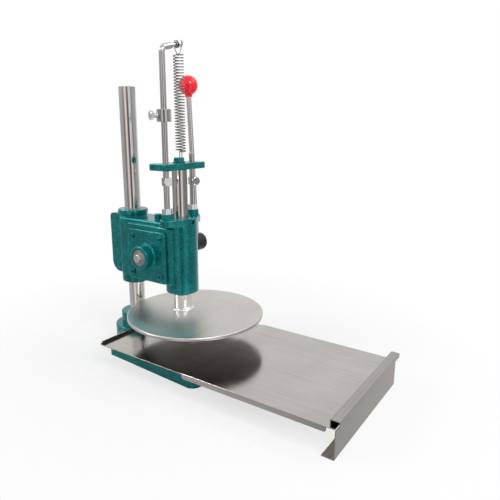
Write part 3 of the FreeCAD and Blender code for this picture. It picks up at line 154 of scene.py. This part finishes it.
# Finish of every node of the model
FINISHES = {
    "hammered_teal": ("base_casting", "head_casting", "gear_cover", "cover_screws", "clamp_bolts", "crossbar",
                      "crossbar_washer", "crossbar_bolt"),
    "brushed_tray": ("bed_plate", "tray_pan"),
    # The handle takes the darker copy of the tray's stainless, a painted shade.
    "brushed_handle_painted_shade": ("tray_handle",),
    "brushed_disc": ("press_disc",),
    "turned_hub": ("disc_hub",),
    "ground_bar": ("column", "lever_rod"),
    # The ram's finish carries a painted dark reflection on its flanks seen from the camera.
    "ram_painted_dark_flanks": ("ram",),
    "drawn_rod": ("guide_rod_left", "guide_rod_right", "crane_rod", "rod_coupling", "stop_collars"),
    "zinc_plate": ("column_set_screw", "bed_screws", "hub_set_screw", "end_bolt", "rod_nuts", "coupling_bolt",
                   "crane_washer", "crane_nut", "stop_screws"),
    "dull_washer": ("end_washer",),
    "machined_steel": ("pinion_gear", "pinion_shaft", "shaft_key", "spring_hanger", "spring_anchor"),
    "bronze": ("front_bush", "rear_bush"),
    "blackened_steel": ("lever_hub", "lever_set_screw"),
    "moulded_red": ("lever_ball",),
}

# Floor: its reach and look, its share of white near the press, and where it gives way to white
FLOOR_REACH = 4
FLOOR_GRAIN = 40
FLOOR_TONES = ((0.94, 0.94, 0.94), (0.97, 0.97, 0.97))
FLOOR_WHITE = 0.66
FLOOR_CLEAR = 0.2
FLOOR_GONE = 0.6

# Studio: the soft light, the pale sky, and the screens round the press by their heading in degrees
SOFT_LIGHT = 0.38
SKY = (0.95, 0.95, 0.95)
SKY_STARTS = 0.02
SKY_FULL = 0.35
SCREENS = ((-180, (0.47, 0.47, 0.48)), (-122, (0.43, 0.42, 0.43)), (-106, (0.26, 0.24, 0.24)),
           (-95, (0.24, 0.21, 0.20)), (-83, (0.84, 0.72, 0.68)), (-69, (1.00, 0.86, 0.80)),
           (-58, (0.36, 0.29, 0.27)), (-50, (0.09, 0.07, 0.07)), (-40, (0.09, 0.07, 0.08)),
           (-27, (0.85, 0.82, 0.86)), (-11, (1.00, 0.98, 1.00)), (0, (0.50, 0.50, 0.52)),
           (9, (0.24, 0.25, 0.26)), (18, (0.38, 0.39, 0.39)), (32, (0.42, 0.42, 0.42)),
           (52, (0.42, 0.42, 0.42)), (70, (0.60, 0.60, 0.60)), (95, (1.00, 1.00, 1.00)),
           (150, (0.95, 0.95, 0.95)), (180, (0.47, 0.47, 0.48)))

# Square lamps: place, width and power
LAMPS = {
    "key": ((-1.41, -1.29, 1.50), 0.6, 19),
    "fill": ((1.5, -0.5, 1.5), 0.6, 16),
    "back": ((1.2, 1.1, 2.2), 1.0, 9),
}
LAMP_TARGET = Vector((0.05, 0, 0.2))

# Middle range of a noise pattern, and numbered sockets of the colour mix
PATTERN_LOW = 0.3
PATTERN_HIGH = 0.7
MIX_SHARE, MIX_FIRST, MIX_SECOND, MIX_RESULT = 0, 6, 7, 2


# Node trees

def add(tree, kind, inputs=None, **settings):
    """One shader node; an input given as a socket is linked, any other is set."""
    node = tree.nodes.new(kind)
    for name, value in settings.items():
        setattr(node, name, value)
    for name, value in (inputs or {}).items():
        if isinstance(value, bpy.types.NodeSocket):
            tree.links.new(value, node.inputs[name])
        else:
            node.inputs[name].default_value = value
    return node


def reckon(tree, operation, first, second=0.0):
    """The result of one sum on two values."""
    return add(tree, "ShaderNodeMath", {0: first, 1: second}, operation=operation).outputs[0]


def spread(tree, value, low, high, start=PATTERN_LOW, end=PATTERN_HIGH):
    """Map a pattern's middle range to a range of numbers."""
    inputs = {"Value": value, "From Min": start, "From Max": end, "To Min": low, "To Max": high}
    return add(tree, "ShaderNodeMapRange", inputs).outputs["Result"]


def own_place(tree):
    """The point's place in the object's own metres."""
    return add(tree, "ShaderNodeTexCoord").outputs["Object"]


def own_axes(tree):
    return add(tree, "ShaderNodeSeparateXYZ", {0: own_place(tree)}).outputs


def stretched(tree, scale):
    """The object's own coordinates, with a scale for each axis or one for all."""
    scale = scale if isinstance(scale, tuple) else (scale, scale, scale)
    return add(tree, "ShaderNodeMapping", {"Vector": own_place(tree), "Scale": scale}).outputs[0]


def noise(tree, scale, detail=3, roughness=0.6):
    inputs = {"Vector": stretched(tree, scale), "Scale": 1, "Detail": detail, "Roughness": roughness}
    return add(tree, "ShaderNodeTexNoise", inputs).outputs["Fac"]


def ramp(tree, value, stops):
    """A colour ramp through stops of a position and a colour."""
    node = add(tree, "ShaderNodeValToRGB", {"Fac": value})
    elements = node.color_ramp.elements
    while len(elements) < len(stops):
        elements.new(0.5)
    for element, (position, colour) in zip(elements, stops):
        element.position = position
        element.color = (*colour, 1)
    return node.outputs["Color"]


def blend_colours(tree, value, *colours):
    """A ramp of evenly spaced colours over a pattern's middle range."""
    gap = (PATTERN_HIGH - PATTERN_LOW) / (len(colours) - 1)
    return ramp(tree, value, [(PATTERN_LOW + gap * index, colour) for index, colour in enumerate(colours)])


def shaded(tree, value, tone, share):
    """A colour that a pattern darkens to a share of itself."""
    return blend_colours(tree, value, tuple(part * share for part in tone), tone)


def mix_colours(tree, share, first, second):
    """Blend a colour into another by a share."""
    inputs = {MIX_SHARE: share, MIX_FIRST: first, MIX_SECOND: (*second, 1)}
    return add(tree, "ShaderNodeMix", inputs, data_type="RGBA").outputs[MIX_RESULT]


def bump(tree, height, depth, normal=None):
    inputs = {"Height": height, "Distance": depth, "Strength": 1}
    if normal:
        inputs["Normal"] = normal
    return add(tree, "ShaderNodeBump", inputs).outputs["Normal"]


def soft_edges(tree, radius):
    """A normal that rounds the edges of a casting or sheet."""
    return add(tree, "ShaderNodeBevel", {"Radius": radius}, samples=EDGE_SAMPLES).outputs["Normal"]


def new_material(name):
    material = bpy.data.materials.new(name)
    material.use_nodes = True
    return material, material.node_tree, material.node_tree.nodes["Principled BSDF"]


def join(tree, shader, **sockets):
    """Link or set the shader's sockets by name, with underscores for spaces."""
    for name, value in sockets.items():
        socket = shader.inputs[name.replace("_", " ")]
        if isinstance(value, bpy.types.NodeSocket):
            tree.links.new(value, socket)
        else:
            socket.default_value = value


# Finishes

def hammered_paint():
    """Teal hammered enamel: shallow dimples, darker pools and a speckle of light pigment."""
    material, tree, shader = new_material("hammered_teal")
    cells = {"Vector": stretched(tree, 1), "Scale": DIMPLES, "Smoothness": 0.7}
    dimples = add(tree, "ShaderNodeTexVoronoi", cells, feature="SMOOTH_F1").outputs["Distance"]
    speckle = noise(tree, SPECKS, 4, 0.75)
    pools = spread(tree, noise(tree, POOLS), -0.05, 0.05)
    tone = blend_colours(tree, reckon(tree, "ADD", speckle, pools), *PAINT_TONES)
    grain = bump(tree, speckle, SPECK_DEPTH, soft_edges(tree, PAINT_EDGE))
    join(tree, shader, Base_Color=tone, Metallic=0.65, Specular_IOR_Level=0.15,
         Roughness=spread(tree, speckle, 0.24, 0.38), Coat_Weight=0.35, Coat_Roughness=0.06,
         Normal=bump(tree, dimples, DIMPLE_DEPTH, grain))
    return material


def brushed_sheet(name, streaks, tone, dull, painted_shade_below=None):
    """Stainless sheet with fine brush marks, faint clouding and, below a level, a painted dark shade."""
    material, tree, shader = new_material(name)
    marks = noise(tree, streaks)
    clouds = noise(tree, CLOUDS, 4)
    tint = reckon(tree, "ADD", marks, spread(tree, clouds, -0.18, 0.18))
    colour = shaded(tree, tint, tone, 0.84)
    # Painted shade: below the given level the sheet turns to the painted dark colour.
    if painted_shade_below is not None:
        level = own_axes(tree)["Z"]
        underside_shade = spread(tree, level, UNDERSIDE_SHADE_SHARE, 0, painted_shade_below, painted_shade_below + UNDERSIDE_SHADE_EDGE)
        colour = mix_colours(tree, underside_shade, colour, PAINTED_DARK)
    brushed = spread(tree, marks, dull - 0.02, dull + 0.02)
    join(tree, shader, Base_Color=colour, Metallic=1.0,
         Roughness=reckon(tree, "ADD", brushed, spread(tree, clouds, -0.03, 0.05)),
         Normal=bump(tree, marks, BRUSH_DEPTH, soft_edges(tree, SHEET_EDGE)))
    return material


def ground_bar(name, tone, dull, painted_flanks=False):
    """Round bar with faint rings of grinding, patches of handling and, if asked, a painted dark reflection on
    the flanks seen from the camera.
    """
    material, tree, shader = new_material(name)
    rings = noise(tree, RINGS, 2)
    patches = noise(tree, PATCHES)
    colour = shaded(tree, patches, tone, 0.88)
    # Painted dark reflection along the two flanks seen from the camera.
    if painted_flanks:
        colour = mix_colours(tree, painted_flank_dark(tree, patches), colour, PAINTED_DARK)
    ground = spread(tree, rings, dull, dull + 0.03)
    join(tree, shader, Base_Color=colour, Metallic=1.0,
         Roughness=reckon(tree, "ADD", ground, spread(tree, patches, 0, 0.03)),
         Normal=bump(tree, rings, RING_DEPTH))
    return material


def painted_flank_dark(tree, patches):
    """Share of painted dark reflection over the ram's two flanks as seen from the camera, with an uneven
    edge.
    """
    axes = own_axes(tree)
    ahead = reckon(tree, "MULTIPLY", axes["X"], CAMERA_ACROSS.x)
    aside = reckon(tree, "MULTIPLY", axes["Y"], CAMERA_ACROSS.y)
    away = reckon(tree, "ABSOLUTE", reckon(tree, "ADD", ahead, aside))
    uneven = reckon(tree, "ADD", away, spread(tree, patches, -FLANK_DARK_UNEVEN, FLANK_DARK_UNEVEN))
    return spread(tree, uneven, 0, FLANK_DARK_SHARE, FLANK_DARK_STARTS, FLANK_DARK_FULL)


def plated(name, tone, dull):
    """Plated or machined small parts, slightly mottled."""
    material, tree, shader = new_material(name)
    mottle = noise(tree, MOTTLE)
    join(tree, shader, Base_Color=shaded(tree, mottle, tone, 0.8), Metallic=1.0,
         Roughness=spread(tree, mottle, dull, dull + 0.15),
         Normal=bump(tree, mottle, MOTTLE_DEPTH, soft_edges(tree, SMALL_EDGE)))
    return material


def moulded_red():
    """Glossy moulded plastic with a very faint orange-peel."""
    material, tree, shader = new_material("moulded_red")
    peel = noise(tree, PEEL, 2, 0.4)
    join(tree, shader, Base_Color=blend_colours(tree, peel, *RED_TONES),
         Roughness=spread(tree, peel, 0.12, 0.18), Normal=bump(tree, peel, PEEL_DEPTH))
    return material


def blackened():
    """Oxide-black steel with a dull sheen."""
    material, tree, shader = new_material("blackened_steel")
    grain = noise(tree, GRAIN)
    join(tree, shader, Base_Color=blend_colours(tree, grain, *BLACK_TONES), Metallic=0.3,
         Roughness=spread(tree, grain, 0.38, 0.55),
         Normal=bump(tree, grain, GRAIN_DEPTH, soft_edges(tree, BLACK_EDGE)))
    return material


def make_finishes():
    """Every finish, by name."""
    made = {
        "hammered_teal": hammered_paint(),
        "moulded_red": moulded_red(),
        "blackened_steel": blackened(),
        # The disc gets a painted shade on its underside, the ram a painted dark reflection on its flanks.
        "brushed_disc": brushed_sheet("brushed_disc", *DISC_SHEET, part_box("press_disc")[0].z),
        "ram_painted_dark_flanks": ground_bar("ram_painted_dark_flanks", *RAM_BAR, painted_flanks=True),
    }
    made.update((name, brushed_sheet(name, *look)) for name, look in SHEETS.items())
    made.update((name, ground_bar(name, *look)) for name, look in BARS.items())
    made.update((name, plated(name, *look)) for name, look in SMALL_PARTS.items())
    return made


def dress_nodes(finishes):
    """Give every node of the model its finish."""
    for finish, names in FINISHES.items():
        for name in names:
            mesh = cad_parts[name].data
            mesh.materials.clear()
            mesh.materials.append(finishes[finish])


# Modelled pieces

def add_object(name, vertices, faces, finish):
    mesh = bpy.data.meshes.new(name)
    mesh.from_pydata(vertices, [], faces)
    mesh.materials.append(finish)
    obj = bpy.data.objects.new(name, mesh)
    bpy.context.collection.objects.link(obj)
    return obj


def ring_axes(path, closed):
    """Two directions across a path at each point, carried along it so that the tube doesn't twist."""
    count = len(path)
    side = None
    for index, point in enumerate(path):
        before = path[index - 1] if index or closed else point
        after = path[(index + 1) % count] if index < count - 1 or closed else point
        along = (after - before).normalized()
        if side is None:
            side = along.orthogonal()
        side = (side - along * side.dot(along)).normalized()
        yield side, along.cross(side)


def tube_faces(count, sides, closed):
    faces = []
    for ring in range(count if closed else count - 1):
        here = ring * sides
        there = (ring + 1) % count * sides
        for step in range(sides):
            onward = (step + 1) % sides
            faces.append((here + step, here + onward, there + onward, there + step))
    if not closed:
        faces.append(tuple(reversed(range(sides))))
        faces.append(tuple(range((count - 1) * sides, count * sides)))
    return faces


def tube(name, path, radii, sides, finish, closed=False):
    """A round tube along a list of points, with a radius for each."""
    vertices = []
    for point, radius, (side, across) in zip(path, radii, ring_axes(path, closed)):
        for step in range(sides):
            angle = FULL_TURN * step / sides
            vertices.append(point + (side * math.cos(angle) + across * math.sin(angle)) * radius)
    obj = add_object(name, vertices, tube_faces(len(path), sides, closed), finish)
    obj.data.shade_smooth()
    return obj


def half_loop(axis, radius, heading, level, climb, backwards):
    """The wire's half loop from the spring's axis out to the coil, with a bar across the end."""
    points = []
    for step in range(SPRING_LOOP_STEPS + 1):
        turn = math.pi * step / SPRING_LOOP_STEPS
        out = radius / 2 * (1 - math.cos(turn))
        swing = -radius / 2 * math.sin(turn) * backwards
        x = out * math.cos(heading) - swing * math.sin(heading)
        y = out * math.sin(heading) + swing * math.cos(heading)
        points.append(axis + Vector((x, y, level + climb * step / SPRING_LOOP_STEPS)))
    bar_end = points[0] - (points[1] - points[0]).normalized() * SPRING_BAR
    return [bar_end] + points


def even_coil(axis, radius, low, high):
    """The coil's turns between its two half loops, without their end points."""
    count = int(SPRING_TURNS * SPRING_STEPS)
    points = []
    for step in range(1, count):
        part = step / count
        angle = FULL_TURN * SPRING_TURNS * part
        level = low + (high - low) * part
        points.append(axis + Vector((radius * math.cos(angle), radius * math.sin(angle), level)))
    return points


def make_spring(finish):
    """The coil with its end bars, between the head and the ram."""
    low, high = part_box("return_spring")
    middle = (low + high) / 2
    axis = Vector((middle.x, middle.y, 0))
    radius = (high.x - low.x - SPRING_WIRE) / 2
    bottom = low.z + SPRING_WIRE / 2
    top = high.z - SPRING_WIRE / 2
    rise = (top - bottom) / (SPRING_TURNS + 0.5) / 8
    foot = half_loop(axis, radius, 0, bottom, rise, 1)
    head = half_loop(axis, radius, FULL_TURN * SPRING_TURNS, top, -rise, -1)
    path = foot + even_coil(axis, radius, bottom + rise, top - rise) + head[::-1]
    spring = tube("spring_coil", path, [SPRING_WIRE / 2] * len(path), SPRING_SIDES, finish)
    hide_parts("return_spring")
    axis = path[0].copy()
    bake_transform(spring)


def weld_radius(part):
    """The bead's own radius at a share of the way round."""
    ripple = abs(math.sin(math.pi * WELD_RIPPLES * part))
    wander = math.sin(FULL_TURN * WELD_WANDERS * part)
    return WELD_THICKNESS * (1 - WELD_RIPPLE_SHARE + WELD_RIPPLE_SHARE * ripple + WELD_WANDER_SHARE * wander)


def make_weld(finish):
    """The bead round the hub's foot, with the ripples of a hand-laid weld."""
    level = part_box("press_disc")[1].z + WELD_LIFT
    parts = [step / WELD_STEPS for step in range(WELD_STEPS)]
    angles = [FULL_TURN * part for part in parts]
    path = [Vector((WELD_RADIUS * math.cos(angle), WELD_RADIUS * math.sin(angle), level)) for angle in angles]
    weld = tube("hub_weld", path, [weld_radius(part) for part in parts], WELD_SIDES, finish, closed=True)
    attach(weld, "ram")


# Studio

def floor_material():
    """A pale floor that shows as nearly white, and gives way to pure white further from the press."""
    material, tree, shader = new_material("pale_floor")
    grain = noise(tree, FLOOR_GRAIN, 3, 0.5)
    join(tree, shader, Base_Color=blend_colours(tree, grain, *FLOOR_TONES), Roughness=0.8,
         Specular_IOR_Level=0.2)
    ray = add(tree, "ShaderNodeLightPath").outputs
    seen = reckon(tree, "MAXIMUM", ray["Is Camera Ray"], ray["Is Glossy Ray"])
    far = add(tree, "ShaderNodeVectorMath", {0: own_place(tree)}, operation="LENGTH").outputs["Value"]
    share = reckon(tree, "MULTIPLY", seen, spread(tree, far, FLOOR_WHITE, 1, FLOOR_CLEAR, FLOOR_GONE))
    away = add(tree, "ShaderNodeBsdfTransparent").outputs[0]
    mixed = add(tree, "ShaderNodeMixShader", {0: share, 1: shader.outputs[0], 2: away})
    tree.links.new(mixed.outputs[0], tree.nodes["Material Output"].inputs["Surface"])
    return material


def make_floor():
    """A pale floor that keeps the shadow near the press."""
    reach = FLOOR_REACH
    corners = [(-reach, -reach, 0), (reach, -reach, 0), (reach, reach, 0), (-reach, reach, 0)]
    floor = add_object("floor", corners, [(0, 1, 2, 3)], floor_material())


def mirrored_studio(tree):
    """What mirrors show: light and dark screens by heading, and a pale sky above them."""
    direction = add(tree, "ShaderNodeTexCoord").outputs["Generated"]
    parts = add(tree, "ShaderNodeSeparateXYZ", {0: direction}).outputs
    heading = spread(tree, reckon(tree, "ARCTAN2", parts["Y"], parts["X"]), 0, 1, -math.pi, math.pi)
    screens = ramp(tree, heading, [((degrees + 180) / 360, colour) for degrees, colour in SCREENS])
    height = spread(tree, parts["Z"], 0, 1, SKY_STARTS, SKY_FULL)
    return mix_colours(tree, height, screens, SKY)


def make_world():
    """White behind the press, soft light on it, and the studio in its reflections."""
    world = bpy.data.worlds.new("studio")
    bpy.context.scene.world = world
    world.use_nodes = True
    tree = world.node_tree
    ray = add(tree, "ShaderNodeLightPath").outputs
    soft = add(tree, "ShaderNodeBackground", {"Color": (1, 1, 1, 1), "Strength": SOFT_LIGHT}).outputs[0]
    mirrored = add(tree, "ShaderNodeBackground", {"Color": mirrored_studio(tree), "Strength": 1.0}).outputs[0]
    white = add(tree, "ShaderNodeBackground", {"Color": (1, 1, 1, 1), "Strength": 1.0}).outputs[0]
    lit = add(tree, "ShaderNodeMixShader", {0: ray["Is Glossy Ray"], 1: soft, 2: mirrored}).outputs[0]
    seen = add(tree, "ShaderNodeMixShader", {0: ray["Is Camera Ray"], 1: lit, 2: white}).outputs[0]
    tree.links.new(seen, tree.nodes["World Output"].inputs["Surface"])


def make_lamp(name, place, width, power):
    """A soft square lamp that looks at the middle of the press."""
    lamp = bpy.data.lights.new(name, "AREA")
    lamp.shape = "SQUARE"
    lamp.size = width
    lamp.energy = power
    obj = bpy.data.objects.new(name, lamp)
    obj.location = place
    obj.rotation_euler = (LAMP_TARGET - obj.location).to_track_quat("-Z", "Y").to_euler()
    bpy.context.collection.objects.link(obj)


def make_lamps():
    for name, look in LAMPS.items():
        make_lamp(name, *look)


def camera_turn():
    """The camera's rotation from its yaw, pitch and roll."""
    flat = math.cos(CAMERA_PITCH)
    ahead = Vector((-math.sin(CAMERA_YAW) * flat, math.cos(CAMERA_YAW) * flat, -math.sin(CAMERA_PITCH)))
    level = Vector((math.cos(CAMERA_YAW), math.sin(CAMERA_YAW), 0))
    upright = level.cross(ahead)
    right = level * math.cos(CAMERA_ROLL) + upright * math.sin(CAMERA_ROLL)
    up = upright * math.cos(CAMERA_ROLL) - level * math.sin(CAMERA_ROLL)
    return Matrix((right, up, -ahead)).transposed().to_4x4()


def make_camera():
    data = bpy.data.cameras.new("camera")
    data.sensor_width = SENSOR
    data.lens = SENSOR * FOCAL_SHARE
    data.clip_start = CLIP_START
    data.clip_end = CLIP_END
    camera = bpy.data.objects.new("camera", data)
    camera.matrix_world = Matrix.Translation(CAMERA_PLACE) @ camera_turn()
    bpy.context.collection.objects.link(camera)
    bpy.context.scene.camera = camera


def write_sizes():
    bpy.context.view_layer.update()


bpy.context.scene.view_settings.view_transform = "Standard"
finishes = make_finishes()
dress_nodes(finishes)
make_spring(finishes["spring_wire"])
make_weld(finishes["bright_weld"])
make_floor()
make_world()
make_lamps()
make_camera()
write_sizes()
